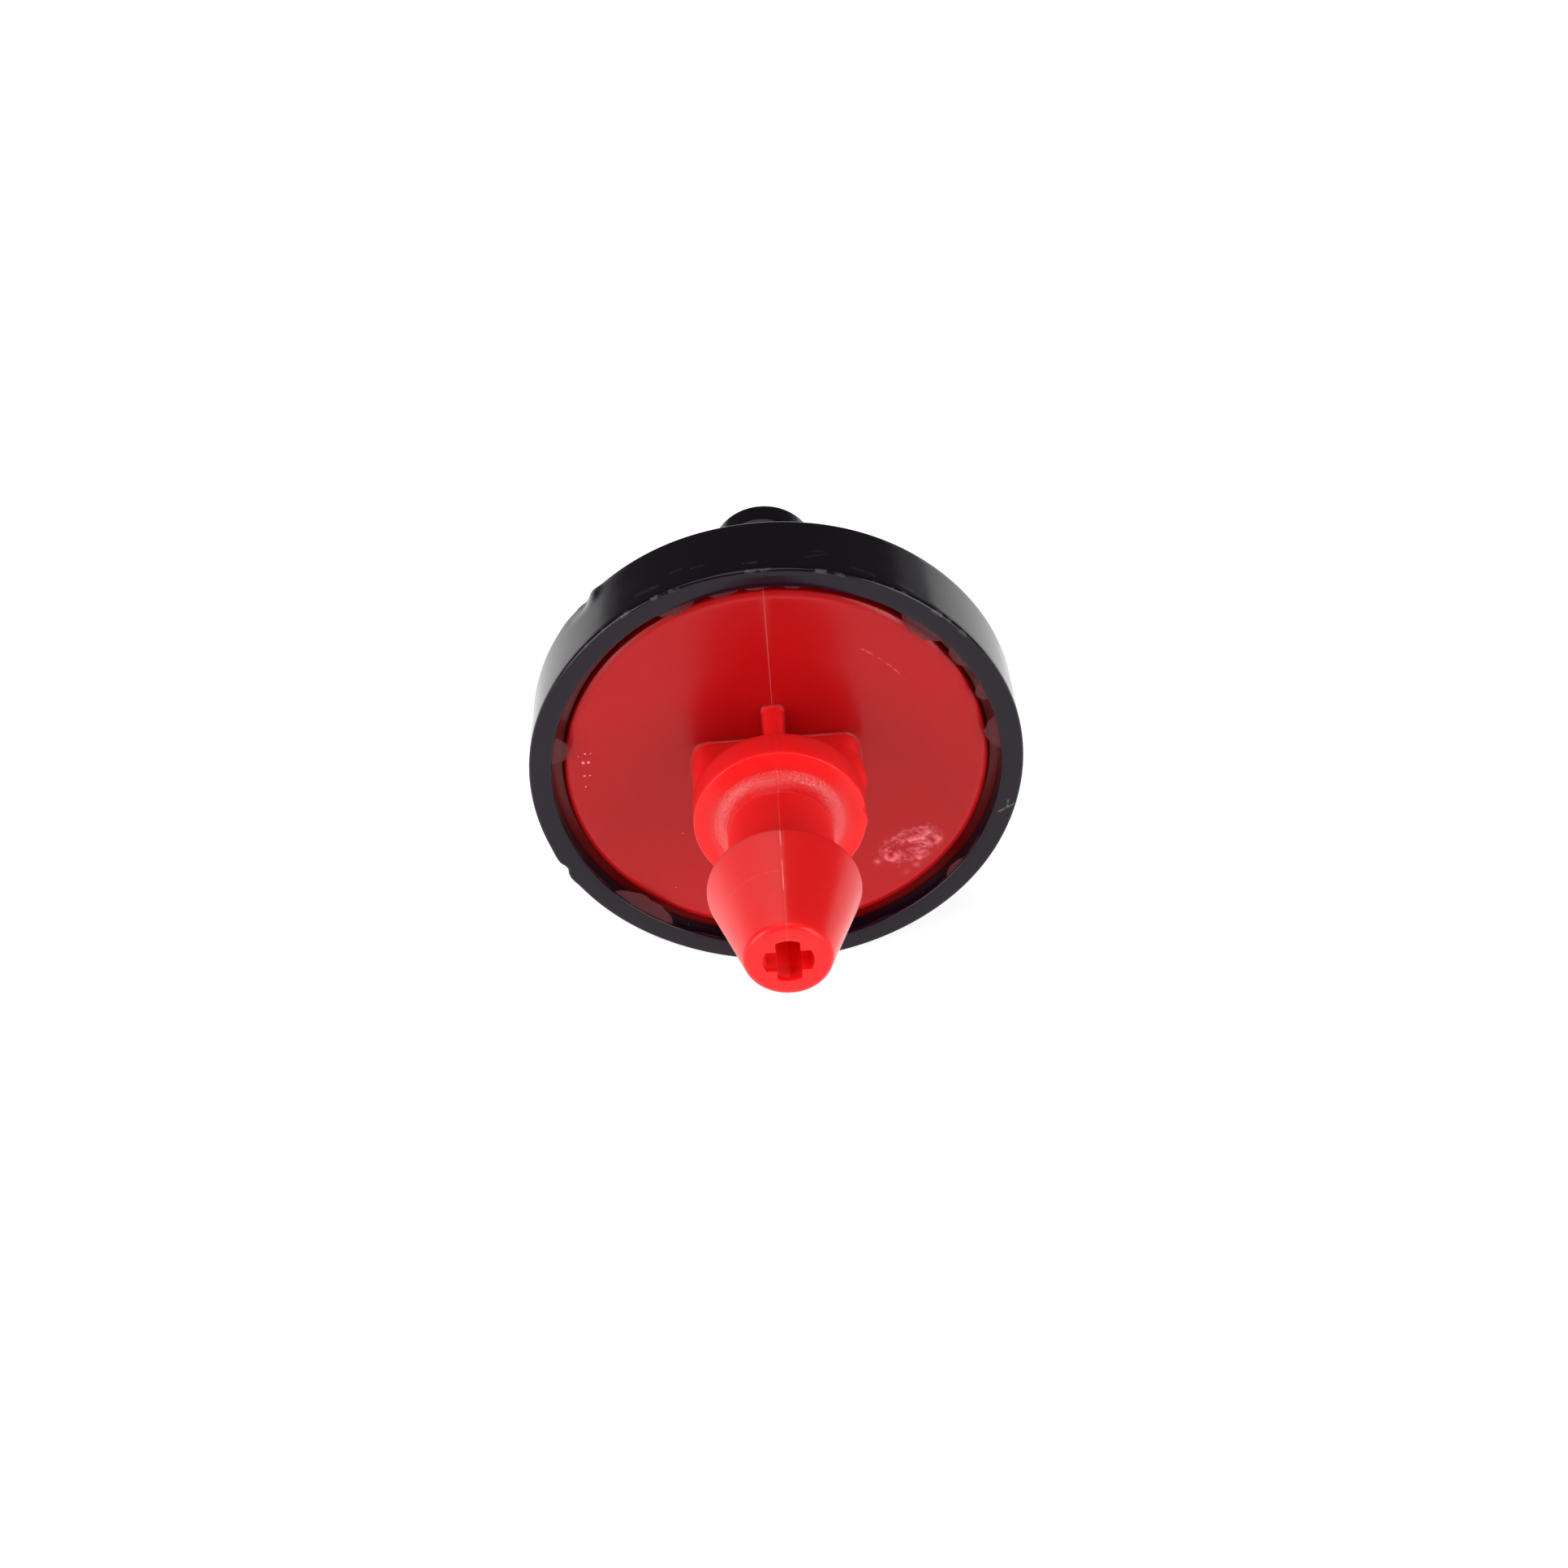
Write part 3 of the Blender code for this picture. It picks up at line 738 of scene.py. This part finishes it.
def film_reach(angle):
    """How far the film's edge reaches in from the lip, in millimetres."""
    reach = 0.02 + 0.008 * math.sin(9 * angle) + 0.006 * math.sin(23 * angle + 1.3)
    for degrees, width, size in TONGUES:
        away = (angle - math.radians(degrees) + math.pi) % math.tau - math.pi
        share = abs(away) / math.radians(width)
        if share < 1:
            ragged = 1 + 0.05 * math.sin(61 * angle) + 0.03 * math.sin(143 * angle)
            reach = max(reach, size * (1 - share**2.4) ** 0.7 * ragged)
    return reach


def film_column(bm, angle):
    """The film's front and back points at an angle, from inside the lip to the film's edge."""
    reach = film_reach(angle) * MM
    front, back = [], []
    for step in range(FILM_STEPS + 1):
        share = step / FILM_STEPS
        x, z = polar(LIP_RADIUS + FILM_ROOT - (reach + FILM_ROOT) * share, angle)
        wave = FILM_WAVE * math.sin(31 * angle + 5 * share) * share
        station = RING_FRONT + FILM_DROP[0] + FILM_DROP[1] * math.sqrt(share) + wave
        front.append(bm.verts.new((x, station, z)))
        back.append(bm.verts.new((x, station + FILM_THICKNESS * (1 - 0.8 * share), z)))
    return front, back


def make_film():
    """A thin wavy film that runs from the lip's inner edge in over the gap round the disc."""
    bm = bmesh.new()
    made = [film_column(bm, math.tau * index / FILM_COLUMNS) for index in range(FILM_COLUMNS)]
    for (front, back), (next_front, next_back) in zip(made, made[1:] + made[:1]):
        for step in range(FILM_STEPS):
            bm.faces.new((front[step], front[step + 1], next_front[step + 1], next_front[step]))
            bm.faces.new((next_back[step], next_back[step + 1], back[step + 1], back[step]))
        for side in (0, FILM_STEPS):
            bm.faces.new((front[side], next_front[side], next_back[side], back[side]))
    film = new_object("weld_film", finish_mesh(bm, "weld_film"))
    smooth(film, 60)
    return film


# ---------------------------------------------------------------- materials

NECK_RED = (0.74, 0.013, 0.015, 1)
# The cone's red is a darker copy of the neck's: painted shade that offsets the stronger light on the
# cone. The left half's paler red is partly its rougher grain from the mould's half, partly a painted
# sheen.
CONE_SHADE_RED = (0.69, 0.012, 0.013, 1)
CONE_LEFT_GRAIN_AND_SHEEN_RED = (0.74, 0.040, 0.042, 1)
# The disc's red is a darker copy of the moulding's red: painted shade for the dark interior behind the
# thin translucent disc.
DISC_SHADE_RED = (0.385, 0.0035, 0.005, 1)
# Painted shade on the disc's rounded edge, where the lip keeps the light off.
LIP_SHADE_RED = (0.17, 0.0012, 0.002, 1)
# A painted glow inside the inlet's cross, standing in for light shining through its thin red walls.
INLET_PAINTED_GLOW = (0.80, 0.004, 0.004, 1)
# Pale pink of the scratches and specks, also used for the parting line's painted highlight.
MARK_AND_HIGHLIGHT_PINK = (0.92, 0.36, 0.38, 1)
SCAR_PINK = (0.88, 0.30, 0.38, 1)
DUST = (0.95, 0.65, 0.65, 1)
DUST_GREY = (0.35, 0.33, 0.34, 1)

# (x, z, size) of each speck of a double row beside the disc's left edge, in mm
SPECK_ROW = (
    (-6.9, 1.1, 0.05), (-6.7, 1.1, 0.03), (-7.0, 0.7, 0.08), (-6.8, 0.7, 0.07),
    (-7.0, 0.1, 0.05), (-6.8, 0.1, 0.04), (-7.0, -0.4, 0.04), (-7.15, 1.0, 0.03),
)
# Two crossing scratches on the ring's front, as (x, z) of the start and of the end in mm, width, strength
FRONT_SCRATCHES = (((8.0, -2.6), (8.55, -2.3), 0.06, 0.30), ((8.3, -2.45), (8.35, -2.1), 0.05, 0.24))
# Scuffs on the ring's side, as (degrees, station in mm) of the start and of the end, width, strength
SIDE_SCUFFS = (
    ((94, 3.5), (91, 3.5), 0.09, 0.08), ((106, 3.9), (103, 3.9), 0.09, 0.09),
    ((111, 4.1), (109, 4.1), 0.10, 0.06), ((120, 3.7), (115, 3.6), 0.16, 0.06),
    ((135, 4.8), (131, 4.9), 0.12, 0.06), ((80, 3.8), (75, 4.1), 0.07, 0.06),
    ((79, 4.2), (75, 4.3), 0.07, 0.05), ((69, 3.5), (64, 3.4), 0.14, 0.06),
    ((58, 3.5), (54, 3.4), 0.14, 0.06), ((37, 4.1), (33, 4.2), 0.10, 0.06),
)
SIDE_RADIUS = RING_RADIUS / MM - 0.07


class Nodes:
    """A node tree being built: small calls that add a node and return its output."""

    def __init__(self, tree):
        self.tree = tree

    def node(self, kind, **settings):
        made = self.tree.nodes.new(kind)
        for key, value in settings.items():
            setattr(made, key, value)
        return made

    def wire(self, source, socket):
        if hasattr(source, "links"):
            self.tree.links.new(source, socket)
        else:
            socket.default_value = source

    def scaled(self, vector, factor):
        made = self.node("ShaderNodeVectorMath", operation="SCALE")
        self.wire(vector, made.inputs[0])
        self.wire(factor, made.inputs["Scale"])
        return made.outputs[0]

    def millimetres(self):
        """The place on the object, in millimetres."""
        return self.scaled(self.node("ShaderNodeTexCoord").outputs["Object"], 1 / MM)

    def noise(self, place, scale, detail=3.0, roughness=0.55):
        made = self.node("ShaderNodeTexNoise")
        self.wire(place, made.inputs["Vector"])
        made.inputs["Scale"].default_value = scale
        made.inputs["Detail"].default_value = detail
        made.inputs["Roughness"].default_value = roughness
        return made.outputs["Fac"]

    def maths(self, operation, first, second=0.0):
        made = self.node("ShaderNodeMath", operation=operation)
        self.wire(first, made.inputs[0])
        self.wire(second, made.inputs[1])
        return made.outputs[0]

    def span(self, value, low, high, first=0.0, last=1.0):
        made = self.node("ShaderNodeMapRange", interpolation_type="SMOOTHSTEP")
        self.wire(value, made.inputs["Value"])
        ends = {"From Min": low, "From Max": high, "To Min": first, "To Max": last}
        for key, end in ends.items():
            made.inputs[key].default_value = end
        return made.outputs[0]

    def mix(self, share, first, second):
        made = self.node("ShaderNodeMix", data_type="RGBA")
        self.wire(share, made.inputs[0])
        self.wire(first, made.inputs[6])
        self.wire(second, made.inputs[7])
        return made.outputs[2]

    def axes(self, place):
        made = self.node("ShaderNodeSeparateXYZ")
        self.wire(place, made.inputs[0])
        return made.outputs

    def radius(self, x, z):
        """The distance from the flow axis."""
        squares = self.maths("ADD", self.maths("MULTIPLY", x, x), self.maths("MULTIPLY", z, z))
        return self.maths("SQRT", squares)

    def specks(self, place, scale, size, keep):
        """Round specks: 1 inside a speck. keep is the share of the cells that have one."""
        cells = self.node("ShaderNodeTexVoronoi")
        self.wire(place, cells.inputs["Vector"])
        cells.inputs["Scale"].default_value = scale
        chance = self.axes(cells.outputs["Color"])[0]
        chosen = self.maths("LESS_THAN", chance, keep)
        near = self.span(cells.outputs["Distance"], size, size * 0.4)
        return self.maths("MULTIPLY", chosen, near)

    def bump(self, height, distance, strength=1.0):
        made = self.node("ShaderNodeBump")
        made.inputs["Strength"].default_value = strength
        made.inputs["Distance"].default_value = distance
        self.wire(height, made.inputs["Height"])
        return made.outputs[0]

    def times(self, first, *others):
        for other in others:
            first = self.maths("MULTIPLY", first, other)
        return first

    def highest(self, first, *others):
        for other in others:
            first = self.maths("MAXIMUM", first, other)
        return first

    def vector(self, operation, first, second):
        made = self.node("ShaderNodeVectorMath", operation=operation)
        self.wire(first, made.inputs[0])
        self.wire(second, made.inputs[1])
        return made.outputs[1 if operation in ("DOT_PRODUCT", "DISTANCE") else 0]

    def dot(self, place, centre, size):
        """1 within a small ball about a point."""
        return self.span(self.vector("DISTANCE", place, centre), size, size * 0.4)

    def stroke(self, place, start, end, width):
        """1 along a straight scratch between two points, which fades over its width."""
        start, along = Vector(start), Vector(end) - Vector(start)
        from_start = self.vector("SUBTRACT", place, start)
        share = self.vector("DOT_PRODUCT", from_start, along / along.length_squared)
        share = self.maths("MINIMUM", self.maths("MAXIMUM", share, 0.0), 1.0)
        away = self.vector("DISTANCE", from_start, self.scaled(along, share))
        return self.span(away, width, width * 0.3)

    def arc(self, x, z, orbit, width, first, last):
        """1 along an arc about the flow axis, between two angles in degrees."""
        angle = self.maths("ARCTAN2", z, x)
        away = self.maths("ABSOLUTE", self.maths("SUBTRACT", self.radius(x, z), orbit))
        middle, half = math.radians((first + last) / 2), math.radians((last - first) / 2)
        aside = self.maths("ABSOLUTE", self.maths("SUBTRACT", angle, middle))
        return self.times(self.span(away, width, width * 0.3), self.span(aside, half, half * 0.8))


class Shader(Nodes):
    """The nodes of a new material."""

    def __init__(self, name):
        self.material = bpy.data.materials.new(name)
        self.material.use_nodes = True
        super().__init__(self.material.node_tree)
        self.surface = self.tree.nodes["Principled BSDF"]

    def put(self, **values):
        for key, value in values.items():
            self.wire(value, self.surface.inputs[key.replace("_", " ")])


def red_plastic():
    """Slightly translucent red plastic. The barb's two halves have the grain of the mould's halves. Its
    colour holds painted light: darker copies of the red on the cone and the disc, a paler left half of
    the cone that is partly painted sheen, painted shade on the disc's edge under the lip, a painted
    highlight on the parting line and a painted glow in the inlet's cross.
    """
    shader = Shader("red_moulding")
    place = shader.millimetres()
    x, y, z = shader.axes(place)
    radius = shader.radius(x, z)
    # Where the disc takes the darker copy of the red: painted shade.
    disc = shader.span(y, 3.30, 3.37)
    barb = shader.span(y, -0.6, -1.0)
    # The cone takes darker copies of the red (painted shade), with a painted sheen on the left half.
    cone = shader.span(y, -3.6, -4.0)
    left = shader.times(barb, shader.span(x, 0.03, -0.03), shader.span(y, -7.56, -7.46))
    fillet = shader.times(shader.span(y, -0.75, -0.6), shader.span(y, 0.02, -0.02))
    fillet = shader.times(fillet, shader.span(radius, 2.7, 2.3))
    # Painted shade on the disc's rounded edge under the lip.
    lip_shade = shader.times(disc, shader.span(radius, 7.60, 7.72))
    # Where the inlet's cross glows: painted light for the light through its walls.
    inlet = shader.times(shader.span(y, -7.02, -6.9), shader.span(y, -3.5, -5.5))
    inlet = shader.times(inlet, shader.span(radius, 0.97, 0.92))
    shade = shader.mix(cone, NECK_RED, shader.mix(left, CONE_SHADE_RED, CONE_LEFT_GRAIN_AND_SHEEN_RED))
    shade = shader.mix(disc, shade, DISC_SHADE_RED)
    shade = shader.mix(lip_shade, shade, LIP_SHADE_RED)
    # Scratches and specks, with the parting line's painted highlight.
    marks = red_marks_and_highlights(shader, place, x, y, z, radius)
    shade = shader.mix(shader.times(marks, 0.75), shade, MARK_AND_HIGHLIGHT_PINK)
    scar = shader.node("ShaderNodeAttribute", attribute_name="scar").outputs["Fac"]
    shade = shader.mix(shader.times(scar, 0.54), shade, SCAR_PINK)
    colour = shader.mix(shader.specks(place, 2.2, 0.045, 0.035), shade, DUST)
    clouds = shader.noise(place, 0.45, 3.0)
    rough = shader.maths("ADD", shader.span(clouds, 0.3, 0.7, 0.20, 0.262), shader.times(left, 0.18))
    rough = shader.maths("SUBTRACT", rough, shader.times(fillet, 0.05))
    grain = shader.noise(place, 24.0, 1.0)
    creases = shader.noise(place, 9.0, 3.0, 0.6)
    height = shader.times(grain, shader.maths("ADD", 0.15, shader.times(left, 0.9)))
    height = shader.maths("ADD", height, shader.times(creases, fillet, 9.0))
    relief = shader.bump(height, 0.006 * MM, 1.0)
    shader.put(Base_Color=colour, Roughness=rough, Normal=relief)
    shader.put(Coat_Weight=shader.times(fillet, 0.9), Coat_Roughness=0.13, Coat_Normal=relief)
    shader.put(Subsurface_Weight=1.0, Subsurface_Scale=1.2 * MM, Subsurface_Radius=(1.0, 0.08, 0.07))
    shader.put(IOR=1.5, Specular_IOR_Level=0.22)
    # The inlet's cross glows with painted light.
    shader.put(Emission_Color=INLET_PAINTED_GLOW, Emission_Strength=shader.times(inlet, 0.18))
    return shader.material


def red_marks_and_highlights(shader, place, x, y, z, radius):
    """The parting line as a painted highlight where it catches the light, scratches on the disc and barb,
    and a row of specks.
    """
    # The parting line's painted highlight, broken along its length, on the collar's fillet, its face and
    # the disc.
    broken = shader.span(shader.noise(place, 1.6, 4.0), 0.42, 0.62, 0.0, 1.0)
    line = shader.times(shader.span(shader.maths("ABSOLUTE", x), 0.026, 0.008), shader.span(z, 0.2, 0.6))
    collar = shader.times(shader.span(y, -0.5, -0.58), shader.span(radius, 1.9, 2.0))
    flat = shader.times(shader.span(y, 3.36, 3.375), 0.18)
    front = shader.times(shader.span(y, -0.5, -0.58), 0.16)
    seam = shader.times(line, shader.highest(shader.times(collar, broken), front, flat))
    ring = shader.span(shader.maths("ABSOLUTE", shader.maths("ADD", y, 5.5)), 0.03, 0.008)
    ring = shader.times(ring, shader.span(x, -0.05, -0.2), shader.span(z, 0.9, 1.3), broken)
    scratch = shader.times(shader.arc(x, z, 5.94, 0.035, 34.3, 57.8), shader.span(y, 3.3, 3.36), broken)
    marks = shader.highest(seam, shader.times(ring, 0.15), shader.times(scratch, 0.4))
    for speck_x, speck_z, size in SPECK_ROW:
        marks = shader.highest(marks, shader.dot(place, (speck_x, DISC_FRONT / MM, speck_z), size))
    return marks


def ring_strokes():
    """The ring's scratches and scuffs, as points (x, y, z) of the start and of the end in mm."""
    for *ends, width, strength in FRONT_SCRATCHES:
        yield *((x, RING_FRONT / MM, z) for x, z in ends), width, strength
    for *ends, width, strength in SIDE_SCUFFS:
        points = []
        for degrees, station in ends:
            x, z = polar(SIDE_RADIUS, math.radians(degrees))
            points.append((x, station, z))
        yield *points, width, strength


def black_plastic():
    """Glossy black plastic, scuffed on the ring's side and worn along its front edge."""
    shader = Shader("black_moulding")
    place = shader.millimetres()
    x, y, z = shader.axes(place)
    clouds = shader.noise(place, 0.8, 4.0)
    worn = shader.noise(place, 3.0, 6.0, 0.7)
    scuffs = shader.span(worn, 0.60, 0.78)
    specks = shader.specks(place, 2.4, 0.045, 0.03)
    edge = shader.times(shader.span(y, 3.12, 3.04), shader.span(shader.radius(x, z), 8.82, 8.88))
    broken = shader.span(shader.noise(place, 2.1, 5.0), 0.54, 0.66)
    edge = shader.times(edge, broken, shader.span(z, 4.0, 6.5))
    marks = shader.highest(specks, shader.times(edge, 0.14))
    uneven = shader.span(shader.noise(place, 6.0, 4.0), 0.36, 0.60, 0.1, 0.9)
    for start, end, width, strength in ring_strokes():
        stroke = shader.stroke(place, start, end, width)
        marks = shader.highest(marks, shader.times(stroke, strength, uneven))
    base = shader.mix(clouds, (0.0045, 0.0016, 0.0065, 1), (0.006, 0.003, 0.0075, 1))
    colour = shader.mix(marks, base, DUST_GREY)
    rough = shader.span(clouds, 0.3, 0.7, 0.10, 0.16)
    shader.put(Base_Color=colour, Roughness=shader.maths("ADD", rough, shader.times(scuffs, 0.10)))
    shader.put(Normal=shader.bump(shader.noise(place, 12.0, 2.0), 0.002 * MM, 0.3))
    shader.put(IOR=1.5, Specular_IOR_Level=0.25)
    return shader.material


def film_plastic():
    """The film is so thin that the red shows through it."""
    shader = Shader("weld_film")
    place = shader.millimetres()
    ragged = shader.noise(place, 4.0, 4.0)
    colour = shader.mix(ragged, (0.050, 0.009, 0.012, 1), (0.150, 0.036, 0.042, 1))
    shader.put(Base_Color=colour, Roughness=shader.span(ragged, 0.3, 0.7, 0.12, 0.25))
    shader.put(Alpha=shader.span(ragged, 0.3, 0.7, 0.60, 0.36))
    shader.put(Normal=shader.bump(ragged, 0.02 * MM, 0.6))
    shader.put(IOR=1.5, Specular_IOR_Level=0.16)
    return shader.material


def silicone():
    shader = Shader("silicone")
    place = shader.millimetres()
    grain = shader.noise(place, 9.0, 4.0)
    shader.put(Base_Color=shader.mix(grain, (0.04, 0.04, 0.042, 1), (0.06, 0.06, 0.062, 1)))
    shader.put(Roughness=shader.span(grain, 0.3, 0.7, 0.5, 0.65))
    shader.put(Normal=shader.bump(grain, 0.003 * MM, 0.5))
    return shader.material


# ---------------------------------------------------------------- stage


def make_floor():
    bm = bmesh.new()
    bmesh.ops.create_grid(bm, x_segments=4, y_segments=4, size=FLOOR_SIZE)
    bmesh.ops.translate(bm, vec=(0, 0, CAP_LOW[2] - FLOOR_DROP), verts=bm.verts)
    floor = new_object("studio_floor", finish_mesh(bm, "studio_floor"))
    shader = Shader("pale_floor")
    place = shader.millimetres()
    tone = shader.noise(place, 0.02, 2.0)
    white = shader.mix(tone, (0.61, 0.61, 0.61, 1), (0.64, 0.64, 0.64, 1))
    shader.put(Base_Color=white, Roughness=0.8, Emission_Color=(1, 1, 1, 1), Emission_Strength=0.80)
    floor.data.materials.append(shader.material)


def aimed(obj, place, target, roll=0.0):
    forward = Vector(target) - Vector(place)
    turn = forward.to_track_quat("-Z", "Y").to_matrix().to_4x4()
    obj.matrix_world = Matrix.Translation(place) @ turn @ Matrix.Rotation(roll, 4, "Z")


def soft_light(name, place, size, power):
    light = bpy.data.lights.new(name, "AREA")
    light.shape = "RECTANGLE"
    light.size, light.size_y = size
    light.energy = power
    lamp = bpy.data.objects.new(name, light)
    bpy.context.scene.collection.objects.link(lamp)
    aimed(lamp, place, (0, RING_FRONT, 0))


def make_world():
    """A dim studio with a brighter band round the horizon. The band stands higher in front and on the
    right, and it is weaker straight in front."""
    world = bpy.data.worlds.new("studio")
    world.use_nodes = True
    nodes = Nodes(world.node_tree)
    x, y, z = nodes.axes(nodes.node("ShaderNodeTexCoord").outputs["Generated"])
    raised = nodes.maths("ADD", nodes.span(x, -0.2, 0.3, 0.0, 0.10), nodes.span(y, 0.3, -0.3, 0.0, 0.42))
    band = nodes.span(nodes.maths("SUBTRACT", z, raised), 0.0, 0.10, 0.24, 0.0)
    sides = nodes.span(nodes.maths("ABSOLUTE", x), 0.10, 0.40, 0.35, 1.0)
    strength = nodes.maths("ADD", nodes.times(band, nodes.highest(sides, nodes.span(y, 0.0, 0.2))), 0.10)
    background = world.node_tree.nodes["Background"]
    nodes.wire(strength, background.inputs["Strength"])
    background.inputs["Color"].default_value = (1, 1, 1, 1)
    bpy.context.scene.world = world


def make_lights():
    for light in LIGHTS:
        soft_light(*light)


def make_camera():
    camera = bpy.data.cameras.new("view")
    camera.lens = LENS
    camera.sensor_width = SENSOR
    camera.shift_x = SHIFT_RIGHT
    camera.shift_y = -SHIFT_DOWN
    camera.clip_start = 0.01
    camera.clip_end = 10
    eye = bpy.data.objects.new("view", camera)
    bpy.context.scene.collection.objects.link(eye)
    azimuth, elevation = math.radians(CAMERA_AZIMUTH), math.radians(CAMERA_ELEVATION)
    level, height = math.cos(elevation), math.sin(elevation)
    away = Vector((math.sin(azimuth) * level, -math.cos(azimuth) * level, height))
    target = Vector((0, RING_FRONT, 0))
    aimed(eye, target + away * CAMERA_DISTANCE, target, math.radians(CAMERA_ROLL))
    bpy.context.scene.camera = eye
    bpy.context.scene.view_settings.view_transform = "Standard"


def main():
    make_camera()
    red, black = red_plastic(), black_plastic()
    base = make_base()
    cap = make_cap()
    film = make_film()
    for piece, material, slot in (
        (base, red, "red_moulding"),
        (cap, black, "black_moulding"),
        (film, film_plastic(), "black_moulding"),
    ):
        piece.data.materials.clear()
        piece.data.materials.append(material)
        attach(piece, "housing")
    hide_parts("inlet_base")
    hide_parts("outlet_cap")
    diaphragm = frame["nodes"]["diaphragm"]
    for slot in diaphragm.material_slots:
        slot.material = silicone()
    make_floor()
    make_world()
    make_lights()


main()
